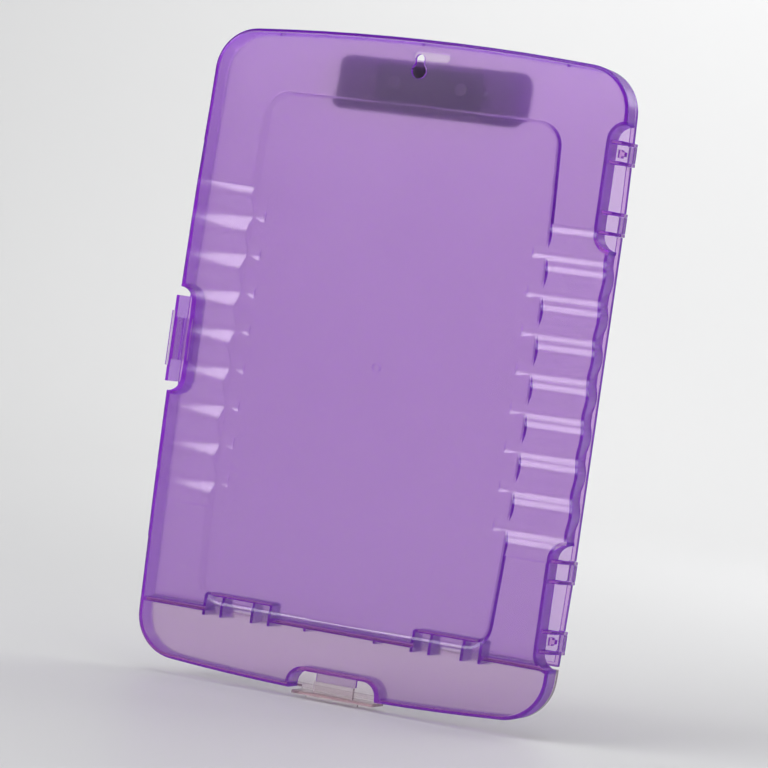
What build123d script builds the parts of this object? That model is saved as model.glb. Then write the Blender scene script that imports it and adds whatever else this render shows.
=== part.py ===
from build123d import *
import math
import os

# The storage clipboard stands upright as it hangs: X to the right seen from its back, Z up,
# Y from the back face (0) towards the writing surface. Lengths are in millimetres.

# Outline of the case
CASE_HALF_WIDTH = 122.5
CASE_HALF_HEIGHT = 177.5
SIDE_BULGE = 3.0
END_BULGE = 5.6
CORNER_RADIUS = 25.0
BACK_EDGE_RADIUS = 2.4

# Walls, depths and clearances
WALL = 2.2
TRAY_DEPTH = 15.0
PARTING_GAP = 0.3
LID_DEPTH = 4.7
LID_EDGE_BEVEL = 0.9
RUNNING_CLEARANCE = 0.05
SIDE_CLEARANCE = 0.3
LID_BACK_Y = TRAY_DEPTH + PARTING_GAP
LID_FACE_Y = LID_BACK_Y + LID_DEPTH

# Partition between papers and pens, and small stiffening ribs
PARTITION_Z = -CASE_HALF_HEIGHT + 29.3
PARTITION_THICKNESS = 2.3
GUSSET_X = 0.7 * CASE_HALF_WIDTH
GUSSET_THICKNESS = 1.4
GUSSET_REACH = 3.0
TICK_X = 21.0

# Recessed panel in the back
PANEL_HALF_WIDTH = CASE_HALF_WIDTH - 36.3
PANEL_BULGE = 4.2
PANEL_TOP = CASE_HALF_HEIGHT - 32.5
PANEL_BOTTOM = PARTITION_Z + 5.2
PANEL_CORNER_RADIUS = 13.0
PANEL_CROWN_DEPTH = 0.3
PANEL_SIDE_DEPTH = 2.3
PANEL_LIP_DEPTH = 0.5
PANEL_LIP_DRAFT = 72.0
PANEL_DRAFT = 48.0
PANEL_OVERRUN = 20.0
GATE_RADIUS = 2.6
GATE_GROOVE = 0.5

# Finger grips along the two long sides
GRIP_COUNT = 8
GRIP_PITCH = 21.4
GRIP_CREST = 0.25
GRIP_TROUGH = 2.4
GRIP_FADE = 0.45
GRIP_INNER_X = PANEL_HALF_WIDTH - 6.0
SCALLOP_DEPTH = 1.6

# Hanging keyhole, and the slot behind it in the lid
KEYHOLE_Z = CASE_HALF_HEIGHT - 12.2
KEYHOLE_RADIUS = 4.3
KEYHOLE_SLOT_WIDTH = 5.2
KEYHOLE_SLOT_RISE = 9.3
LID_SLOT_WIDTH = 22.0
LID_SLOT_HEIGHT = 5.0
LID_SLOT_Z = KEYHOLE_Z + 9.8

# Side hinges of the main lid
HINGE_X = CASE_HALF_WIDTH + 1.0
HINGE_Y = LID_BACK_Y + LID_DEPTH / 2
HINGE_CENTRE_Z = CASE_HALF_HEIGHT - 62.9
POCKET_HALF_HEIGHT = 34.2
POCKET_INNER_X = HINGE_X - 8.1
POCKET_RADIUS = 9.0
LID_HINGE_EDGE_X = HINGE_X + 1.0
SCALLOP_CREST_X = LID_HINGE_EDGE_X - 0.2
KNUCKLE_RADIUS = 2.3
BAR_RADIUS = 1.4
RIB_THICKNESS = 1.6
RIB_INNER = 13.7
RIB_OUTER = 24.7
RIB_BACK_Y = 3.0
LOBE_SIDES = 8
LOBE_HALF = KNUCKLE_RADIUS * math.cos(math.pi / LOBE_SIDES)
LOBE_FLAT = KNUCKLE_RADIUS * math.sin(math.pi / LOBE_SIDES)
CLIP_MOUTH = 2.2
STOP_SHANK_HALF = 1.2
STOP_HEAD_HALF = 2.2
STOP_DEPTH = 2.0

# Hinges of the pen door
DOOR_HINGE_Z = PARTITION_Z - 1.3
DOOR_HINGE_X = CASE_HALF_WIDTH - 59.3
BAY_TOP_Z = DOOR_HINGE_Z + 10.7
BAY_RIB_INNER = 9.5
BAY_RIB_OUTER = 20.0
DOOR_EDGE_Z = DOOR_HINGE_Z + 1.0
LID_LOWER_EDGE_Z = DOOR_HINGE_Z + KNUCKLE_RADIUS + PARTING_GAP

# Latches of the lid and of the pen door
LATCH_NOTCH_HALF = 29.6
LATCH_NOTCH_X = -CASE_HALF_WIDTH - SIDE_BULGE + 8.5
DOOR_NOTCH_HALF = 26.2
DOOR_NOTCH_Z = -CASE_HALF_HEIGHT - END_BULGE + 10.8
NOTCH_RADIUS = 8.0
LATCH_HALF = 24.5
LATCH_GAP = 0.9
LATCH_THICKNESS = 1.8
LATCH_END_Y = 3.5
LIP_HALF = 15.6
LIP_REACH = 1.4
LIP_THICKNESS = 1.5
CATCH_HALF = 12.0
CATCH_REACH = 5.0
CATCH_Y = 6.3
CATCH_THICKNESS = 2.0
CATCH_CLEARANCE = 0.15

# Paper clip on the lid
CLIP_HALF_WIDTH = 58.0
CLIP_TOP_Z = CASE_HALF_HEIGHT - 5.0
CLIP_HEIGHT = 31.0
CLIP_BOTTOM_Z = CLIP_TOP_Z - CLIP_HEIGHT
CLIP_CORNER_RADIUS = 7.0
CLIP_SHEET = 1.2
JAW_HEIGHT = 8.2
JAW_BEND_RADIUS = 2.0
PIN_Z = CLIP_TOP_Z - 14.0
PIN_HEIGHT = 5.0
PIN_Y = LID_FACE_Y + PIN_HEIGHT
PIN_RADIUS = 1.5
PIN_END = 0.8
EAR_RADIUS = 2.5
EAR_FOOT = 2.0
BASE_EAR_X = CLIP_HALF_WIDTH - 26.6
CLIP_BASE_TOP_Z = CLIP_TOP_Z - 3.5
CLIP_BASE_BOTTOM_Z = PIN_Z - 10.0
CLIP_BASE_CORNER = 2.0
RIVET_X = 20.0
RIVET_Z = (CLIP_BASE_TOP_Z + CLIP_BASE_BOTTOM_Z) / 2
RIVET_RADIUS = 2.0
RIVET_HEAD_RADIUS = 3.6
RIVET_HEAD_LENGTH = 1.1
PAD_LENGTH = 15.0
PAD_HEIGHT = 2.0
PAD_GAP = 0.1
PAD_THICKNESS = 0.3
SPRING_WIRE = 0.9
SPRING_RADIUS = 2.3
SPRING_HALF_TURNS = 5
SPRING_PITCH = 1.7
SPRING_LEG = 7.0
WIRE_SIDES = 6

# Reach of a cutting shape that has to pass right through
OUTSIDE = 400.0
PAST = 1.0


def depth_plane(y):
    """Plane parallel to the back face, at depth y."""
    return Plane(origin=(0, y, 0), x_dir=(1, 0, 0), z_dir=(0, -1, 0))


def side_plane(x):
    """Upright plane across the case at x: its first axis is Z and its second is Y."""
    return Plane(origin=(x, 0, 0), x_dir=(0, 0, 1), z_dir=(-1, 0, 0))


def top_plane(z):
    """Level plane at height z."""
    return Plane(origin=(0, 0, z), x_dir=(1, 0, 0), z_dir=(0, 0, 1))


def prism(face, y_from, y_to):
    return extrude(depth_plane(y_from) * face, amount=y_to - y_from, dir=(0, 1, 0))


def across(face, x_from, x_to):
    return extrude(side_plane(x_from) * face, amount=x_to - x_from, dir=(1, 0, 0))


def upright(face, z_from, z_to):
    return extrude(top_plane(z_from) * face, amount=z_to - z_from, dir=(0, 0, 1))


def block(x_range, y_range, z_range):
    size = [high - low for low, high in (x_range, y_range, z_range)]
    middle = [(high + low) / 2 for low, high in (x_range, y_range, z_range)]
    return Pos(*middle) * Box(*size)


def bowed_face(left_right, bottom, top, side_bulge, end_bulge, radius):
    """Face with four gently bowed sides and rounded corners."""
    middle = (bottom + top) / 2
    lower = ThreePointArc((-left_right, bottom), (0, bottom - end_bulge), (left_right, bottom))
    right = ThreePointArc((left_right, bottom), (left_right + side_bulge, middle), (left_right, top))
    upper = ThreePointArc((left_right, top), (0, top + end_bulge), (-left_right, top))
    left = ThreePointArc((-left_right, top), (-left_right - side_bulge, middle), (-left_right, bottom))
    face = make_face([lower, right, upper, left])
    return fillet(face.vertices(), radius)


def case_face(inset=0.0):
    """Plain outline of the case, moved inwards by inset."""
    return bowed_face(
        CASE_HALF_WIDTH - inset,
        -CASE_HALF_HEIGHT + inset,
        CASE_HALF_HEIGHT - inset,
        SIDE_BULGE,
        END_BULGE,
        CORNER_RADIUS - inset,
    )


def rounded_block_face(x_range, z_range, radius):
    width = x_range[1] - x_range[0]
    height = z_range[1] - z_range[0]
    place = Pos(x_range[0] + width / 2, z_range[0] + height / 2)
    return place * RectangleRounded(width, height, radius)


def notch_faces(grow=0.0):
    """Openings in the rim: two hinge pockets, the lid latch and the pen door latch."""
    faces = []
    for side in (-1, 1):
        middle = side * HINGE_CENTRE_Z
        reach = POCKET_HALF_HEIGHT + grow
        span = (middle - reach, middle + reach)
        faces.append(rounded_block_face((POCKET_INNER_X - grow, OUTSIDE), span, POCKET_RADIUS + grow))
    reach = LATCH_NOTCH_HALF + grow
    faces.append(rounded_block_face((-OUTSIDE, LATCH_NOTCH_X + grow), (-reach, reach), NOTCH_RADIUS + grow))
    reach = DOOR_NOTCH_HALF + grow
    faces.append(rounded_block_face((-reach, reach), (-OUTSIDE, DOOR_NOTCH_Z + grow), NOTCH_RADIUS + grow))
    return faces


def wave_face(crest, trough, far, turned=False):
    """Closed face between a straight line at far and a wave of tangent arcs along the grips."""
    middle = (crest + trough) / 2
    quarter = GRIP_PITCH / 4
    start = -GRIP_COUNT * GRIP_PITCH / 2 - quarter
    steps = 2 * GRIP_COUNT + 1
    corners = [(start + 2 * quarter * i, middle) for i in range(steps + 1)]
    peaks = [(start + quarter * (2 * i + 1), crest if i % 2 == 0 else trough) for i in range(steps)]
    closing = [corners[-1], (corners[-1][0], far), (corners[0][0], far), corners[0]]
    if turned:
        corners = [(b, a) for a, b in corners]
        peaks = [(b, a) for a, b in peaks]
        closing = [(b, a) for a, b in closing]
    arcs = [ThreePointArc(corners[i], peaks[i], corners[i + 1]) for i in range(steps)]
    lines = [Line(closing[i], closing[i + 1]) for i in range(3)]
    return make_face(arcs + lines)


def grip_cutter(shift):
    """Wavy finger grips in the back face, full at the panel and fading out at the latch side."""
    far = -PAST
    full = wave_face(GRIP_CREST + shift, GRIP_TROUGH + shift, far)
    faded = wave_face(GRIP_CREST + shift, GRIP_FADE + shift, far)
    right = across(full, GRIP_INNER_X, CASE_HALF_WIDTH + 3 * SIDE_BULGE)
    outer = CASE_HALF_WIDTH + 2 * SIDE_BULGE
    left = loft([side_plane(-outer) * faded, side_plane(-GRIP_INNER_X) * full], ruled=True)
    return right + left


def scallop_cutter(shift):
    """Scallops down the hinge-side edge, in line with the grips."""
    crest = SCALLOP_CREST_X - shift
    face = wave_face(crest, crest - SCALLOP_DEPTH, CASE_HALF_WIDTH + 4 * SIDE_BULGE, turned=True)
    return prism(face, -PAST, TRAY_DEPTH + PAST)


def panel_face(grow):
    return bowed_face(
        PANEL_HALF_WIDTH + grow,
        PANEL_BOTTOM - grow,
        PANEL_TOP + grow,
        PANEL_BULGE,
        0.01,
        PANEL_CORNER_RADIUS + grow,
    )


def panel_cutter(wall=0.0):
    """Recess in the back: a soft lip, a drafted step, and a floor crowned along its upright centre line.

    With a wall it is the same recess moved in by that wall, without the lip, for the hollow of the tray.
    """
    step = math.radians(PANEL_DRAFT)
    grow = wall * (1 - math.sin(step)) / math.cos(step)
    lip = wall + PANEL_LIP_DEPTH
    near = wall - PAST
    deep = wall + PANEL_SIDE_DEPTH + PAST
    bottom = depth_plane(deep) * panel_face(grow - (deep - lip) * math.tan(step))
    if wall:
        outlines = [depth_plane(near) * panel_face(grow + (lip - near) * math.tan(step)), bottom]
    else:
        lip_slope = math.tan(math.radians(PANEL_LIP_DRAFT))
        mouth = depth_plane(near) * panel_face((lip - near) * lip_slope)
        outlines = [mouth, depth_plane(lip) * panel_face(0.0), bottom]
    sides = loft(outlines, ruled=True)
    wide = PANEL_HALF_WIDTH + PANEL_BULGE
    crown = wall + PANEL_CROWN_DEPTH
    fall = (PANEL_SIDE_DEPTH - PANEL_CROWN_DEPTH) / wide ** 2
    reach = wide + PANEL_OVERRUN
    edge = crown + fall * reach ** 2
    floor = ThreePointArc((-reach, edge), (0, crown), (reach, edge))
    rest = Polyline((reach, edge), (reach, near - PAST), (-reach, near - PAST), (-reach, edge))
    slab = upright(make_face([floor, rest]), -CASE_HALF_HEIGHT, CASE_HALF_HEIGHT)
    return sides & slab


def keyhole_cutter():
    slot_radius = KEYHOLE_SLOT_WIDTH / 2
    slot_top = KEYHOLE_Z + KEYHOLE_SLOT_RISE - slot_radius
    face = Pos(0, KEYHOLE_Z) * Circle(KEYHOLE_RADIUS)
    face += Pos(0, (KEYHOLE_Z + slot_top) / 2) * Rectangle(KEYHOLE_SLOT_WIDTH, slot_top - KEYHOLE_Z)
    face += Pos(0, slot_top) * Circle(slot_radius)
    return prism(face, -PAST, WALL + PANEL_SIDE_DEPTH + PAST)


def inner_walls_face():
    """Partition between papers and pens, with the two bays that hold the pen door's hinges."""
    face = Pos(0, PARTITION_Z) * Rectangle(OUTSIDE, PARTITION_THICKNESS)
    bay_half = BAY_RIB_OUTER + RIB_THICKNESS / 2
    bay_floor = DOOR_HINGE_Z - KNUCKLE_RADIUS
    for side in (-1, 1):
        x_range = (side * DOOR_HINGE_X - bay_half, side * DOOR_HINGE_X + bay_half)
        inner = (x_range[0] + RIB_THICKNESS, x_range[1] - RIB_THICKNESS)
        outer_face = rounded_block_face(x_range, (PARTITION_Z, BAY_TOP_Z), RIB_THICKNESS)
        middle = sum(inner) / 2
        height = BAY_TOP_Z - RIB_THICKNESS - bay_floor
        hollow = Pos(middle, bay_floor + height / 2) * Rectangle(inner[1] - inner[0], height)
        face = face + outer_face - hollow
    return face


def hinge_lobe(line):
    """Eight-sided end of a hinge rib or knuckle about the hinge line."""
    return Pos(line, HINGE_Y) * RegularPolygon(KNUCKLE_RADIUS, LOBE_SIDES, rotation=180 / LOBE_SIDES)


def side_hinge_rib():
    """Rib in a side pocket: a foot on the pocket wall and a lobe about the hinge line."""
    foot_x = POCKET_INNER_X - WALL / 2
    points = [
        (foot_x, RIB_BACK_Y),
        (HINGE_X - LOBE_HALF, RIB_BACK_Y),
        (HINGE_X + LOBE_HALF, HINGE_Y - LOBE_FLAT),
        (HINGE_X - LOBE_HALF, HINGE_Y - LOBE_FLAT),
        (HINGE_X - LOBE_HALF, TRAY_DEPTH),
        (foot_x, TRAY_DEPTH),
    ]
    return make_face(Polyline(*points, close=True)) + hinge_lobe(HINGE_X)


def door_hinge_rib():
    """The same rib for the pen door, seen across the case: first axis Z, second axis Y."""
    foot_z = BAY_TOP_Z - RIB_THICKNESS / 2
    points = [
        (foot_z, WALL / 2),
        (DOOR_HINGE_Z - LOBE_HALF, WALL / 2),
        (DOOR_HINGE_Z - LOBE_HALF, HINGE_Y),
        (DOOR_HINGE_Z + LOBE_HALF, HINGE_Y),
        (DOOR_HINGE_Z + LOBE_HALF, TRAY_DEPTH),
        (foot_z, TRAY_DEPTH),
    ]
    return make_face(Polyline(*points, close=True)) + hinge_lobe(DOOR_HINGE_Z)


def tray_hinges():
    """Ribs and moulded hinge bars of the tray for the lid and for the pen door."""
    parts = []
    half = RIB_THICKNESS / 2
    for side in (-1, 1):
        centre = side * HINGE_CENTRE_Z
        for offset in (-RIB_OUTER, -RIB_INNER, RIB_INNER, RIB_OUTER):
            parts.append(upright(side_hinge_rib(), centre + offset - half, centre + offset + half))
        for low, high in ((-RIB_OUTER, -RIB_INNER), (RIB_INNER, RIB_OUTER)):
            bar = Pos(HINGE_X, HINGE_Y) * Circle(BAR_RADIUS)
            parts.append(upright(bar, centre + low, centre + high))
        centre = side * DOOR_HINGE_X
        for offset in (-BAY_RIB_OUTER, -BAY_RIB_INNER, BAY_RIB_INNER, BAY_RIB_OUTER):
            parts.append(across(door_hinge_rib(), centre + offset - half, centre + offset + half))
        for low, high in ((-BAY_RIB_OUTER, -BAY_RIB_INNER), (BAY_RIB_INNER, BAY_RIB_OUTER)):
            bar = Pos(DOOR_HINGE_Z, HINGE_Y) * Circle(BAR_RADIUS)
            parts.append(across(bar, centre + low, centre + high))
    return parts


def tray_ribs():
    """Gussets on the top wall, ticks under the partition and the two latch catches."""
    parts = []
    for x in (-GUSSET_X, 0.0, GUSSET_X):
        top = CASE_HALF_HEIGHT + END_BULGE * (1 - (x / CASE_HALF_WIDTH) ** 2) - WALL / 2
        foot = top - GUSSET_REACH
        profile = Polyline((top, WALL / 2), (foot, WALL / 2), (top, TRAY_DEPTH - WALL), close=True)
        parts.append(across(make_face(profile), x - GUSSET_THICKNESS / 2, x + GUSSET_THICKNESS / 2))
    low = PARTITION_Z - PARTITION_THICKNESS / 2 - GUSSET_REACH / 2
    for x in (-TICK_X, TICK_X):
        x_range = (x - GUSSET_THICKNESS / 2, x + GUSSET_THICKNESS / 2)
        parts.append(block(x_range, (WALL / 2, TRAY_DEPTH - WALL / 2), (low, PARTITION_Z)))
    y_range = (CATCH_Y, CATCH_Y + CATCH_THICKNESS)
    tip = LATCH_NOTCH_X - CATCH_REACH
    parts.append(block((tip, LATCH_NOTCH_X + WALL / 2), y_range, (-CATCH_HALF, CATCH_HALF)))
    tip = DOOR_NOTCH_Z - CATCH_REACH
    parts.append(block((-CATCH_HALF, CATCH_HALF), y_range, (tip, DOOR_NOTCH_Z + WALL / 2)))
    return parts


def base_tray():
    """One moulding: back, rim, partition, hinge pockets and grips, all of even wall."""
    shell = prism(case_face(), 0.0, TRAY_DEPTH)
    shell = fillet(shell.edges().group_by(Axis.Y)[0], BACK_EDGE_RADIUS)
    shell = shell - scallop_cutter(0.0) - grip_cutter(0.0) - panel_cutter()
    for face in notch_faces():
        shell -= prism(face, -PAST, TRAY_DEPTH + PAST)
    hollow_face = case_face(WALL)
    for face in notch_faces(WALL):
        hollow_face -= face
    hollow_face -= inner_walls_face()
    hollow = prism(hollow_face, WALL, TRAY_DEPTH + PAST)
    hollow = hollow - scallop_cutter(WALL) - grip_cutter(WALL) - panel_cutter(WALL)
    tray = shell - hollow - keyhole_cutter()
    for part in tray_hinges() + tray_ribs():
        tray += part
    ring = Circle(GATE_RADIUS) - Circle(GATE_RADIUS - GATE_GROOVE)
    return tray - prism(ring, -PAST, PANEL_CROWN_DEPTH + GATE_GROOVE)


def trimmed_case_face(inset, x_high, z_low, z_high):
    """Case outline cut to a window, with the cut edges moved inwards by the same inset."""
    x_range = (-OUTSIDE, x_high - inset)
    z_range = (z_low + inset, z_high - inset)
    window = Rectangle(x_range[1] - x_range[0], z_range[1] - z_range[0])
    return case_face(inset) & Pos(sum(x_range) / 2, sum(z_range) / 2) * window


def shallow_cover(x_high, z_low, z_high):
    """Cover plate with a low skirt all round, and a bevelled outer edge."""
    body = prism(trimmed_case_face(0.0, x_high, z_low, z_high), LID_BACK_Y, LID_FACE_Y)
    body = chamfer(body.edges().group_by(Axis.Y)[-1], LID_EDGE_BEVEL)
    hollow = prism(trimmed_case_face(WALL, x_high, z_low, z_high), LID_BACK_Y - PAST, LID_FACE_Y - WALL)
    return body - hollow


def knuckle_face(line, arm_to):
    """Snap knuckle: a ring about the hinge line, open at the back, with an arm to the cover."""
    ring = hinge_lobe(line)
    low, high = sorted((line, arm_to))
    arm = Pos((low + high) / 2, LID_FACE_Y - WALL / 2) * Rectangle(high - low, WALL)
    mouth = Pos(line, HINGE_Y - KNUCKLE_RADIUS) * Rectangle(CLIP_MOUTH, 2 * KNUCKLE_RADIUS)
    bore = Pos(line, HINGE_Y) * Circle(BAR_RADIUS + RUNNING_CLEARANCE)
    return ring + arm - mouth - bore


def latch_parts(outline, catch_tip):
    """Ranges across the latch: bridge, arm, lip and hook, each as a pair of limits."""
    inner = outline - LATCH_GAP
    outer = inner - LATCH_THICKNESS
    bridge = (outer, outline + WALL)
    lip = (outer - LIP_REACH, outer + LIP_THICKNESS / 2)
    hook = (inner - LATCH_THICKNESS / 2, catch_tip - CATCH_CLEARANCE)
    return bridge, (outer, inner), lip, hook


def latch(outline, catch_tip, upright_latch):
    """Snap latch moulded on a cover: bridge over the rim, springy arm, thumb lip and hook."""
    bridge, arm, lip, hook = latch_parts(outline, catch_tip)
    pieces = [
        (bridge, (LID_FACE_Y - WALL, LID_FACE_Y), LATCH_HALF),
        (arm, (LATCH_END_Y, LID_FACE_Y), LATCH_HALF),
        (lip, (LATCH_END_Y, LATCH_END_Y + LIP_THICKNESS), LIP_HALF),
        (hook, (LATCH_END_Y, CATCH_Y - PARTING_GAP), CATCH_HALF),
    ]
    body = None
    for out_range, y_range, half in pieces:
        if upright_latch:
            piece = block(out_range, y_range, (-half, half))
        else:
            piece = block((-half, half), y_range, out_range)
        body = piece if body is None else body + piece
    return body


def lid_stop(centre_z, slot_end):
    """Hooked stop of the lid in a hinge pocket: a shank with a wider head."""
    y_range = (TRAY_DEPTH - STOP_DEPTH, LID_FACE_Y - WALL / 2)
    shank = (POCKET_INNER_X + 3 * STOP_DEPTH / 2, slot_end)
    head = (shank[0] - STOP_DEPTH * 0.75, shank[0] + STOP_DEPTH * 0.25)
    stop = block(shank, y_range, (centre_z - STOP_SHANK_HALF, centre_z + STOP_SHANK_HALF))
    return stop + block(head, y_range, (centre_z - STOP_HEAD_HALF, centre_z + STOP_HEAD_HALF))


def main_lid():
    """Lid of the paper compartment, with snap knuckles, stop hooks, latch and hanging slot."""
    lid = shallow_cover(LID_HINGE_EDGE_X, LID_LOWER_EDGE_Z, OUTSIDE)
    slot_end = HINGE_X - KNUCKLE_RADIUS - 2 * SIDE_CLEARANCE
    slot_clear = RIB_THICKNESS / 2 + SIDE_CLEARANCE
    inner_end = RIB_INNER - slot_clear
    outer_end = RIB_OUTER + slot_clear
    knuckle = (RIB_INNER + slot_clear, RIB_OUTER - slot_clear)
    for side in (-1, 1):
        centre = side * HINGE_CENTRE_Z
        for end in (-1, 1):
            opening = (centre + end * inner_end, centre + end * outer_end)
            lid -= block((slot_end, OUTSIDE), (0.0, OUTSIDE), sorted(opening))
        for end in (-1, 1):
            low, high = sorted((centre + end * knuckle[0], centre + end * knuckle[1]))
            lid += upright(knuckle_face(HINGE_X, slot_end - WALL), low, high)
        lid += lid_stop(centre + side * sum(knuckle) / 2, slot_end)
    edge = -CASE_HALF_WIDTH - SIDE_BULGE
    lid += latch(edge, LATCH_NOTCH_X - CATCH_REACH, True)
    slot = Pos(0, LID_SLOT_Z) * SlotOverall(LID_SLOT_WIDTH, LID_SLOT_HEIGHT)
    lid -= prism(slot, LID_BACK_Y - PAST, LID_FACE_Y + PAST)
    for x in (-RIVET_X, RIVET_X):
        hole = Pos(x, RIVET_Z) * Circle(RIVET_RADIUS + RUNNING_CLEARANCE)
        lid -= prism(hole, LID_BACK_Y - PAST, LID_FACE_Y + PAST)
    return lid


def pen_door():
    """Clear door of the pen compartment, with its snap knuckles and latch."""
    door = shallow_cover(OUTSIDE, -OUTSIDE, DOOR_EDGE_Z)
    slot_end = DOOR_HINGE_Z - KNUCKLE_RADIUS - 2 * SIDE_CLEARANCE
    slot_clear = RIB_THICKNESS / 2 + SIDE_CLEARANCE
    inner_end = BAY_RIB_INNER - slot_clear
    outer_end = BAY_RIB_OUTER + slot_clear
    knuckle = (BAY_RIB_INNER + slot_clear, BAY_RIB_OUTER - slot_clear)
    for side in (-1, 1):
        centre = side * DOOR_HINGE_X
        for end in (-1, 1):
            opening = (centre + end * inner_end, centre + end * outer_end)
            door -= block(sorted(opening), (0.0, OUTSIDE), (slot_end, OUTSIDE))
        for end in (-1, 1):
            low, high = sorted((centre + end * knuckle[0], centre + end * knuckle[1]))
            door += across(knuckle_face(DOOR_HINGE_Z, slot_end - WALL), low, high)
    edge = -CASE_HALF_HEIGHT - END_BULGE
    return door + latch(edge, DOOR_NOTCH_Z - CATCH_REACH, False)


def clip_ear(foot_z, foot_y, bore):
    """Ear of the clip, narrowing from a foot to a round end about the pin."""
    points = [
        (PIN_Z - foot_z, foot_y),
        (PIN_Z + foot_z, foot_y),
        (PIN_Z + EAR_RADIUS, PIN_Y),
        (PIN_Z - EAR_RADIUS, PIN_Y),
    ]
    ear = make_face(Polyline(*points, close=True)) + Pos(PIN_Z, PIN_Y) * Circle(EAR_RADIUS)
    return ear - Pos(PIN_Z, PIN_Y) * Circle(bore)


def clip_base():
    """Stamped plate riveted to the lid, with two ears that carry the pivot pin."""
    half = BASE_EAR_X + CLIP_SHEET / 2
    z_range = (CLIP_BASE_BOTTOM_Z, CLIP_BASE_TOP_Z)
    plate_face = rounded_block_face((-half, half), z_range, CLIP_BASE_CORNER)
    for x in (-RIVET_X, RIVET_X):
        plate_face -= Pos(x, RIVET_Z) * Circle(RIVET_RADIUS + RUNNING_CLEARANCE)
    plate = prism(plate_face, LID_FACE_Y, LID_FACE_Y + CLIP_SHEET)
    ear = clip_ear(EAR_RADIUS + EAR_FOOT, LID_FACE_Y + CLIP_SHEET / 2, PIN_RADIUS)
    for x in (-BASE_EAR_X, BASE_EAR_X):
        plate += across(ear, x - CLIP_SHEET / 2, x + CLIP_SHEET / 2)
    return plate


def jaw_section():
    """Bent sheet of the jaw seen from its end: thumb tab, back and gripping edge."""
    high = LID_FACE_Y + JAW_HEIGHT
    half_sheet = CLIP_SHEET / 2
    path = FilletPolyline(
        (CLIP_TOP_Z + half_sheet, high - half_sheet),
        (PIN_Z + EAR_RADIUS + EAR_FOOT, high + half_sheet),
        (PIN_Z - 4 * JAW_BEND_RADIUS, high),
        (CLIP_BOTTOM_Z + 2 * CLIP_SHEET, LID_FACE_Y + CLIP_SHEET + half_sheet),
        (CLIP_BOTTOM_Z - CLIP_SHEET, LID_FACE_Y + CLIP_SHEET),
        radius=JAW_BEND_RADIUS,
    )
    return trace(path, line_width=CLIP_SHEET)


def clip_jaw():
    """Wide jaw of the clip, with two ears on the pin."""
    outline = rounded_block_face(
        (-CLIP_HALF_WIDTH, CLIP_HALF_WIDTH),
        (CLIP_BOTTOM_Z, CLIP_TOP_Z),
        CLIP_CORNER_RADIUS,
    )
    sheet = across(jaw_section(), -CLIP_HALF_WIDTH - PAST, CLIP_HALF_WIDTH + PAST)
    jaw = sheet & prism(outline, LID_FACE_Y, LID_FACE_Y + 2 * JAW_HEIGHT)
    ear = clip_ear(EAR_RADIUS + EAR_FOOT / 2, LID_FACE_Y + JAW_HEIGHT, PIN_RADIUS + RUNNING_CLEARANCE)
    ear_x = BASE_EAR_X - CLIP_SHEET - SIDE_CLEARANCE
    for x in (-ear_x, ear_x):
        jaw += across(ear, x - CLIP_SHEET / 2, x + CLIP_SHEET / 2)
    return jaw


def clip_pivot_pin():
    """Plain pin pressed into the ears of the base, standing proud of them at each end."""
    end = BASE_EAR_X + CLIP_SHEET / 2 + PIN_END
    return across(Pos(PIN_Z, PIN_Y) * Circle(PIN_RADIUS), -end, end)


def clip_rivets():
    """Two rivets with a low head outside and a set head inside the lid."""
    outer = LID_FACE_Y + CLIP_SHEET
    inner = LID_FACE_Y - WALL
    rivets = []
    for x in (-RIVET_X, RIVET_X):
        shank = prism(Pos(x, RIVET_Z) * Circle(RIVET_RADIUS), inner, outer)
        head = Pos(x, RIVET_Z) * Circle(RIVET_HEAD_RADIUS)
        rivet = shank + prism(head, outer, outer + RIVET_HEAD_LENGTH)
        rivets.append(rivet + prism(head, inner - RIVET_HEAD_LENGTH, inner))
    return Compound(children=rivets)


def spring_points():
    """Half-turn arcs of the coil, each as start, middle and end, tangent where they meet."""
    drop = PIN_HEIGHT - CLIP_SHEET - SPRING_WIRE / 2
    turn = math.acos(SPRING_RADIUS / math.hypot(drop, SPRING_LEG)) - math.atan2(SPRING_LEG, drop)
    bowed = math.hypot(SPRING_RADIUS, SPRING_PITCH / 4)
    left = -SPRING_HALF_TURNS * SPRING_PITCH / 4

    def point(quarters):
        angle = turn + quarters * math.pi / 2
        radius = bowed if quarters % 2 else SPRING_RADIUS
        x = left + quarters * SPRING_PITCH / 4
        return Vector(x, PIN_Y - radius * math.cos(angle), PIN_Z + radius * math.sin(angle))

    return [[point(2 * i + k) for k in range(3)] for i in range(SPRING_HALF_TURNS)]


def clip_spring():
    """Torsion spring wound on the pin, with one leg down on the base plate."""
    arcs = [ThreePointArc(*points) for points in spring_points()]
    start = arcs[0] @ 0
    leg = Line(start - (arcs[0] % 0) * SPRING_LEG, start)
    wire = Wire([leg] + arcs)
    turns = [arc @ (k / 8) for arc in arcs for k in range(8)]
    apart = [(a - b).length for i, a in enumerate(turns) for b in turns[i + 12:]]
    print("least gap between spring turns, mm:", round(min(apart) - SPRING_WIRE, 2))
    section = Plane(origin=wire @ 0, z_dir=wire % 0) * RegularPolygon(SPRING_WIRE / 2, WIRE_SIDES)
    return sweep(section, path=wire, clean=False)


def gripping_pads():
    """Rubber strips on the two ends of the gripping edge."""
    pads = []
    low = CLIP_BOTTOM_Z + CLIP_SHEET
    outer = CLIP_HALF_WIDTH - CLIP_CORNER_RADIUS
    y_range = (LID_FACE_Y + PAD_GAP, LID_FACE_Y + PAD_GAP + PAD_THICKNESS)
    for side in (-1, 1):
        x_range = sorted((side * outer, side * (outer - PAD_LENGTH)))
        pads.append(block(x_range, y_range, (low, low + PAD_HEIGHT)))
    return Compound(children=pads)


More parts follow.
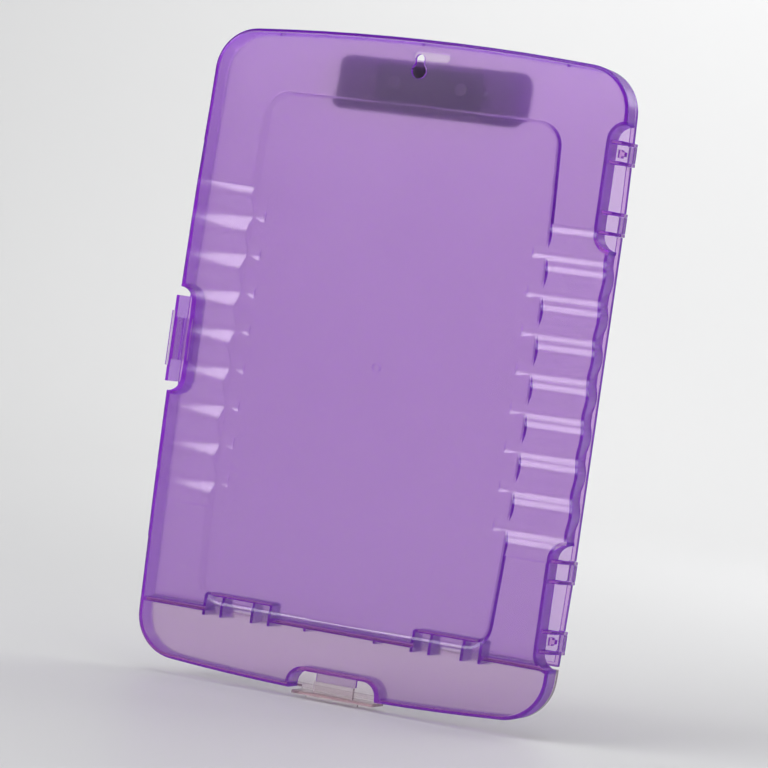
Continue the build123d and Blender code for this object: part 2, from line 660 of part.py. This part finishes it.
NODES = {
    "base_tray": base_tray,
    "main_lid": main_lid,
    "pen_door": pen_door,
    "clip_base": clip_base,
    "clip_jaw": clip_jaw,
    "clip_pivot_pin": clip_pivot_pin,
    "clip_rivets": clip_rivets,
    "clip_spring": clip_spring,
    "clip_grip_pads": gripping_pads,
}


def main():
    os.makedirs("parts", exist_ok=True)
    to_keyhole = Pos(0, 0, -KEYHOLE_Z)
    for name, build in NODES.items():
        export_step(to_keyhole * build(), "parts/" + name + ".step")


main()
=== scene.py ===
import math

import bpy
from mathutils import Matrix, Vector


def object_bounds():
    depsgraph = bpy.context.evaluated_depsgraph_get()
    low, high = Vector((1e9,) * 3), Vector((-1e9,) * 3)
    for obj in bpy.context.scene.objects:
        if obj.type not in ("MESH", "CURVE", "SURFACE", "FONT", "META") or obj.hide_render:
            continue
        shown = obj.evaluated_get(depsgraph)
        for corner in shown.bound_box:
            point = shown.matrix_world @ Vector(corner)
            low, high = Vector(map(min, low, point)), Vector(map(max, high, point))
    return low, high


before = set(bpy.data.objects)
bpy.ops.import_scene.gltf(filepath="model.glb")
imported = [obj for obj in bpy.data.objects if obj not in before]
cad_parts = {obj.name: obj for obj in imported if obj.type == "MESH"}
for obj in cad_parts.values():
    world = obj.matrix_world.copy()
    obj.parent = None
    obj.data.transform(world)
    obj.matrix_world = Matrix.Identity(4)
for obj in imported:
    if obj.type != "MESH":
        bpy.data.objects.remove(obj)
CAD_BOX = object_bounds()

# Camera, fitted to the outline of the case
CAMERA_TARGET = Vector((0.0059, 0.0, -0.1736))
CAMERA_DISTANCE = 1.8576
CAMERA_AZIMUTH = 21.63
CAMERA_ELEVATION = 0.89
CAMERA_ROLL = 8.11
CAMERA_LENS = 157.9
SENSOR_WIDTH = 36.0

# Paper sweep behind and below the case, and where its grey starts and stops growing lighter: painted
# shade that stands in for light falling off towards the front of the floor
FLOOR_GAP = 0.001
SWEEP_FRONT = 2.6
SWEEP_BACK = 2.4
SWEEP_RADIUS = 1.6
SWEEP_HEIGHT = 3.4
SWEEP_HALF_WIDTH = 4.5
SWEEP_STEPS = 24
PAPER_START = -0.6
PAPER_END = 3.6
PAPER_SLANT = 0.25
# Painted shade at the front of the floor and painted light at the top of the backdrop: the two ends of
# the paper's grey gradient
PAPER_PAINTED_SHADE = (0.66, 0.66, 0.67, 1.0)
PAPER_PAINTED_LIGHT = (0.93, 0.93, 0.93, 1.0)
PAPER_ROUGHNESS = 0.5

# World: what the camera sees past the sweep, and the even light
BACKGROUND = (0.92, 0.92, 0.92, 1.0)
WORLD_COLOUR = (0.97, 0.98, 1.0, 1.0)
WORLD_LIGHT = 0.12

# Lamps: place, point aimed at, size in metres and power in watts
LAMPS = {
    "key_softbox": ((-1.1, -1.75, 0.72), (0.0, 0.0, -0.15), (1.7, 0.9), 34.0),
    "top_softbox": ((0.2, -0.6, 2.3), (0.2, -0.2, -0.35), (2.0, 2.0), 30.0),
    "back_softbox": ((0.9, 1.5, 0.9), (0.0, 0.0, -0.15), (1.6, 1.2), 14.0),
    "backdrop_lamp": ((0.2, 2.0, 2.4), (-0.8, 4.0, 0.8), (2.4, 0.8), 56.0),
}

# Plastics: tint and density of absorption per metre, colour of the body's own glow, its share seen
# square on and edge on, and the range of roughness
PURPLE_TINT = (0.79, 0.30, 0.84, 1.0)
PURPLE_DENSITY = 170.0
PURPLE_GLOW = (0.37, 0.03, 0.80, 1.0)
PURPLE_HAZE = (0.18, 0.62)
PURPLE_ROUGHNESS = (0.17, 0.22)
CLEAR_TINT = (0.80, 0.62, 0.66, 1.0)
CLEAR_DENSITY = 130.0
CLEAR_GLOW = (0.75, 0.66, 0.76, 1.0)
CLEAR_HAZE = (0.06, 0.4)
CLEAR_ROUGHNESS = (0.08, 0.14)
PLASTIC_IOR = 1.49

# Metal and rubber of the paper clip: colour and range of roughness
COAT_COLOUR = (0.035, 0.035, 0.04, 1.0)
COAT_ROUGHNESS = (0.32, 0.5)
COAT_GLOSS = 0.25
TURNED_COLOUR = (0.56, 0.56, 0.58, 1.0)
TURNED_ROUGHNESS = (0.25, 0.4)
WIRE_COLOUR = (0.42, 0.42, 0.45, 1.0)
WIRE_ROUGHNESS = (0.28, 0.42)
RUBBER_COLOUR = (0.02, 0.02, 0.022, 1.0)
RUBBER_ROUGHNESS = (0.55, 0.75)

# Skin of each kind of surface: fineness of its grain and strength of its relief
PLASTIC_SKIN = (260.0, 0.03)
COAT_SKIN = (900.0, 0.25)
STEEL_SKIN = (1200.0, 0.1)
RUBBER_SKIN = (1500.0, 0.3)
GRAIN_DETAIL = 3.0
GRAIN_DEPTH = 0.0004
DRIFT_SCALE = 14.0
DRIFT_DETAIL = 4.0
DRIFT_RANGE = (0.3, 0.7)


def new_group(name, inputs, outputs):
    """Shader node group with named sockets; returns the group and its two end nodes."""
    group = bpy.data.node_groups.new(name, "ShaderNodeTree")
    for label, kind, value in inputs:
        socket = group.interface.new_socket(name=label, in_out="INPUT", socket_type=kind)
        socket.default_value = value
    for label, kind in outputs:
        group.interface.new_socket(name=label, in_out="OUTPUT", socket_type=kind)
    start = group.nodes.new("NodeGroupInput")
    end = group.nodes.new("NodeGroupOutput")
    return group, start, end


def moulded_skin_group():
    """Faint orange-peel bump and a slow drift of roughness."""
    number = "NodeSocketFloat"
    inputs = [("Scale", number, 260.0), ("Strength", number, 0.1)]
    inputs += [("Low", number, 0.1), ("High", number, 0.2)]
    outputs = [("Roughness", number), ("Normal", "NodeSocketVector")]
    group, start, end = new_group("moulded_skin", inputs, outputs)
    nodes, links = group.nodes, group.links
    place = nodes.new("ShaderNodeTexCoord")
    grain = nodes.new("ShaderNodeTexNoise")
    grain.inputs["Detail"].default_value = GRAIN_DETAIL
    links.new(place.outputs["Object"], grain.inputs["Vector"])
    links.new(start.outputs["Scale"], grain.inputs["Scale"])
    bump = nodes.new("ShaderNodeBump")
    bump.inputs["Distance"].default_value = GRAIN_DEPTH
    links.new(start.outputs["Strength"], bump.inputs["Strength"])
    links.new(grain.outputs["Fac"], bump.inputs["Height"])
    drift = nodes.new("ShaderNodeTexNoise")
    drift.inputs["Scale"].default_value = DRIFT_SCALE
    drift.inputs["Detail"].default_value = DRIFT_DETAIL
    links.new(place.outputs["Object"], drift.inputs["Vector"])
    spread = nodes.new("ShaderNodeMapRange")
    spread.inputs["From Min"].default_value, spread.inputs["From Max"].default_value = DRIFT_RANGE
    links.new(drift.outputs["Fac"], spread.inputs["Value"])
    links.new(start.outputs["Low"], spread.inputs["To Min"])
    links.new(start.outputs["High"], spread.inputs["To Max"])
    links.new(spread.outputs["Result"], end.inputs["Roughness"])
    links.new(bump.outputs["Normal"], end.inputs["Normal"])
    return group


def new_material(name):
    """Material with nodes; returns it with its Principled shader."""
    material = bpy.data.materials.new(name)
    material.use_nodes = True
    return material, material.node_tree.nodes["Principled BSDF"]


def add_skin(material, shader, kind, roughness):
    """Gives a shader the grain of one kind of surface, with its own range of roughness."""
    nodes, links = material.node_tree.nodes, material.node_tree.links
    skin = nodes.new("ShaderNodeGroup")
    skin.node_tree = SKIN
    skin.inputs["Scale"].default_value, skin.inputs["Strength"].default_value = kind
    skin.inputs["Low"].default_value, skin.inputs["High"].default_value = roughness
    links.new(skin.outputs["Roughness"], shader.inputs["Roughness"])
    links.new(skin.outputs["Normal"], shader.inputs["Normal"])
    return skin


def translucent_plastic(name, tint, density, glow, haze, roughness):
    """Tinted see-through plastic, milkier where it is seen at a low angle.

    The depth of plastic colours the light that passes, and haze is the share that glows in its body,
    seen square on and seen edge on.
    """
    material, shader = new_material(name)
    nodes, links = material.node_tree.nodes, material.node_tree.links
    output = nodes["Material Output"]
    shader.inputs["Base Color"].default_value = (1.0, 1.0, 1.0, 1.0)
    shader.inputs["Transmission Weight"].default_value = 1.0
    shader.inputs["IOR"].default_value = PLASTIC_IOR
    skin = add_skin(material, shader, PLASTIC_SKIN, roughness)
    absorb = nodes.new("ShaderNodeVolumeAbsorption")
    absorb.inputs["Color"].default_value = tint
    absorb.inputs["Density"].default_value = density
    links.new(absorb.outputs["Volume"], output.inputs["Volume"])
    body = nodes.new("ShaderNodeBsdfTranslucent")
    body.inputs["Color"].default_value = glow
    links.new(skin.outputs["Normal"], body.inputs["Normal"])
    slant = nodes.new("ShaderNodeLayerWeight")
    slant.inputs["Blend"].default_value = 0.5
    share = nodes.new("ShaderNodeMapRange")
    share.interpolation_type = "SMOOTHSTEP"
    share.inputs["From Min"].default_value = 0.1
    share.inputs["To Min"].default_value, share.inputs["To Max"].default_value = haze
    links.new(slant.outputs["Facing"], share.inputs["Value"])
    both = nodes.new("ShaderNodeMixShader")
    links.new(share.outputs["Result"], both.inputs["Fac"])
    links.new(shader.outputs["BSDF"], both.inputs[1])
    links.new(body.outputs["BSDF"], both.inputs[2])
    links.new(both.outputs["Shader"], output.inputs["Surface"])
    return material


def coated_steel(name):
    """Sheet steel with a dark satin coat."""
    material, shader = new_material(name)
    shader.inputs["Base Color"].default_value = COAT_COLOUR
    shader.inputs["Metallic"].default_value = 0.0
    shader.inputs["Coat Weight"].default_value = COAT_GLOSS
    add_skin(material, shader, COAT_SKIN, COAT_ROUGHNESS)
    return material


def plain_steel(name, colour, roughness):
    """Drawn or turned steel."""
    material, shader = new_material(name)
    shader.inputs["Base Color"].default_value = colour
    shader.inputs["Metallic"].default_value = 1.0
    add_skin(material, shader, STEEL_SKIN, roughness)
    return material


def soft_rubber(name):
    """Matt black rubber."""
    material, shader = new_material(name)
    shader.inputs["Base Color"].default_value = RUBBER_COLOUR
    add_skin(material, shader, RUBBER_SKIN, RUBBER_ROUGHNESS)
    return material


def dress(node, material):
    """Gives a CAD node its material."""
    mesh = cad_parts[node].data
    mesh.materials.clear()
    mesh.materials.append(material)


def studio_paper_painted_shade():
    """Grey paper with painted shade: it grows lighter from the front of the floor to the top of the
    backdrop, standing in for how the light falls.
    """
    material, shader = new_material("studio_paper_painted_shade")
    nodes, links = material.node_tree.nodes, material.node_tree.links
    shader.inputs["Roughness"].default_value = PAPER_ROUGHNESS
    place = nodes.new("ShaderNodeTexCoord")
    split = nodes.new("ShaderNodeSeparateXYZ")
    links.new(place.outputs["Object"], split.inputs["Vector"])
    along = nodes.new("ShaderNodeMath")
    along.operation = "ADD"
    links.new(split.outputs["Y"], along.inputs[0])
    links.new(split.outputs["Z"], along.inputs[1])
    slant = nodes.new("ShaderNodeMath")
    slant.operation = "MULTIPLY_ADD"
    links.new(split.outputs["X"], slant.inputs[0])
    slant.inputs[1].default_value = PAPER_SLANT
    links.new(along.outputs["Value"], slant.inputs[2])
    spread = nodes.new("ShaderNodeMapRange")
    spread.interpolation_type = "SMOOTHSTEP"
    spread.inputs["From Min"].default_value = PAPER_START
    spread.inputs["From Max"].default_value = PAPER_END
    links.new(slant.outputs["Value"], spread.inputs["Value"])
    # Painted shade: the colour darkens towards the front of the floor and grows lighter up the backdrop
    # and towards one side, in place of the light's own fall-off
    blend = nodes.new("ShaderNodeMix")
    blend.data_type = "RGBA"
    links.new(spread.outputs["Result"], blend.inputs["Factor"])
    blend.inputs["A"].default_value = PAPER_PAINTED_SHADE
    blend.inputs["B"].default_value = PAPER_PAINTED_LIGHT
    links.new(blend.outputs["Result"], shader.inputs["Base Color"])
    return material


def sweep_floor(floor_z):
    """Pale floor that curves up into a backdrop."""
    profile = [(-SWEEP_FRONT, 0.0), (SWEEP_BACK, 0.0)]
    for i in range(1, SWEEP_STEPS + 1):
        turn = math.radians(90.0 * i / SWEEP_STEPS)
        profile.append((SWEEP_BACK + SWEEP_RADIUS * math.sin(turn), SWEEP_RADIUS * (1 - math.cos(turn))))
    profile.append((SWEEP_BACK + SWEEP_RADIUS, SWEEP_HEIGHT))
    points = [(x, y, z) for x in (-SWEEP_HALF_WIDTH, SWEEP_HALF_WIDTH) for y, z in profile]
    count = len(profile)
    faces = [(i, i + count, i + 1 + count, i + 1) for i in range(count - 1)]
    mesh = bpy.data.meshes.new("studio_sweep")
    mesh.from_pydata(points, [], faces)
    for face in mesh.polygons:
        face.use_smooth = True
    mesh.materials.append(studio_paper_painted_shade())
    sweep = bpy.data.objects.new("studio_sweep", mesh)
    bpy.context.collection.objects.link(sweep)
    sweep.location = (0.0, 0.0, floor_z)
    sweep.rotation_euler = (0.0, 0.0, math.radians(CAMERA_AZIMUTH))


def studio_world():
    """Even light all round, and the pale background for what the camera and clear plastic see."""
    world = bpy.data.worlds.new("studio_world")
    bpy.context.scene.world = world
    world.use_nodes = True
    nodes, links = world.node_tree.nodes, world.node_tree.links
    nodes.clear()
    light = nodes.new("ShaderNodeBackground")
    light.inputs["Color"].default_value = WORLD_COLOUR
    light.inputs["Strength"].default_value = WORLD_LIGHT
    seen = nodes.new("ShaderNodeBackground")
    seen.inputs["Color"].default_value = BACKGROUND
    path = nodes.new("ShaderNodeLightPath")
    either = nodes.new("ShaderNodeMath")
    either.operation = "MAXIMUM"
    mix = nodes.new("ShaderNodeMixShader")
    output = nodes.new("ShaderNodeOutputWorld")
    links.new(path.outputs["Is Camera Ray"], either.inputs[0])
    links.new(path.outputs["Is Transmission Ray"], either.inputs[1])
    links.new(either.outputs["Value"], mix.inputs["Fac"])
    links.new(light.outputs["Background"], mix.inputs[1])
    links.new(seen.outputs["Background"], mix.inputs[2])
    links.new(mix.outputs["Shader"], output.inputs["Surface"])


def area_lamp(name, place, target, size, power):
    """Rectangular soft lamp at a place, aimed at a point."""
    data = bpy.data.lights.new(name, "AREA")
    data.shape = "RECTANGLE"
    data.size, data.size_y = size
    data.energy = power
    lamp = bpy.data.objects.new(name, data)
    bpy.context.collection.objects.link(lamp)
    lamp.location = place
    lamp.rotation_euler = (Vector(target) - Vector(place)).to_track_quat("-Z", "Y").to_euler()


def photo_camera():
    """Camera that stands where the photograph was taken from."""
    azimuth = math.radians(CAMERA_AZIMUTH)
    elevation = math.radians(CAMERA_ELEVATION)
    forward = Vector((
        -math.sin(azimuth) * math.cos(elevation),
        math.cos(azimuth) * math.cos(elevation),
        -math.sin(elevation),
    ))
    level = forward.cross(Vector((0.0, 0.0, 1.0))).normalized()
    up = level.cross(forward)
    roll = math.radians(CAMERA_ROLL)
    right = level * math.cos(roll) + up * math.sin(roll)
    up = right.cross(forward)
    data = bpy.data.cameras.new("photo_camera")
    data.lens = CAMERA_LENS
    data.sensor_width = SENSOR_WIDTH
    camera = bpy.data.objects.new("photo_camera", data)
    bpy.context.collection.objects.link(camera)
    place = CAMERA_TARGET - forward * CAMERA_DISTANCE
    turned = Matrix((right, up, -forward)).transposed().to_4x4()
    camera.matrix_world = Matrix.Translation(place) @ turned
    bpy.context.scene.camera = camera


SKIN = moulded_skin_group()
purple = translucent_plastic(
    "purple_plastic", PURPLE_TINT, PURPLE_DENSITY, PURPLE_GLOW, PURPLE_HAZE, PURPLE_ROUGHNESS
)
clear = translucent_plastic(
    "clear_plastic", CLEAR_TINT, CLEAR_DENSITY, CLEAR_GLOW, CLEAR_HAZE, CLEAR_ROUGHNESS
)
dark = coated_steel("dark_coated_steel")
steel = plain_steel("turned_steel", TURNED_COLOUR, TURNED_ROUGHNESS)
wire = plain_steel("spring_wire", WIRE_COLOUR, WIRE_ROUGHNESS)
rubber = soft_rubber("pad_rubber")

FINISHES = {
    "base_tray": purple,
    "main_lid": purple,
    "pen_door": clear,
    "clip_base": dark,
    "clip_jaw": dark,
    "clip_rivets": dark,
    "clip_pivot_pin": steel,
    "clip_spring": wire,
    "clip_grip_pads": rubber,
}
for node, material in FINISHES.items():
    dress(node, material)

photo_camera()
sweep_floor(CAD_BOX[0][2] - FLOOR_GAP)
studio_world()
for name, (place, target, size, power) in LAMPS.items():
    area_lamp(name, place, target, size, power)

bpy.context.scene.view_settings.view_transform = "Standard"
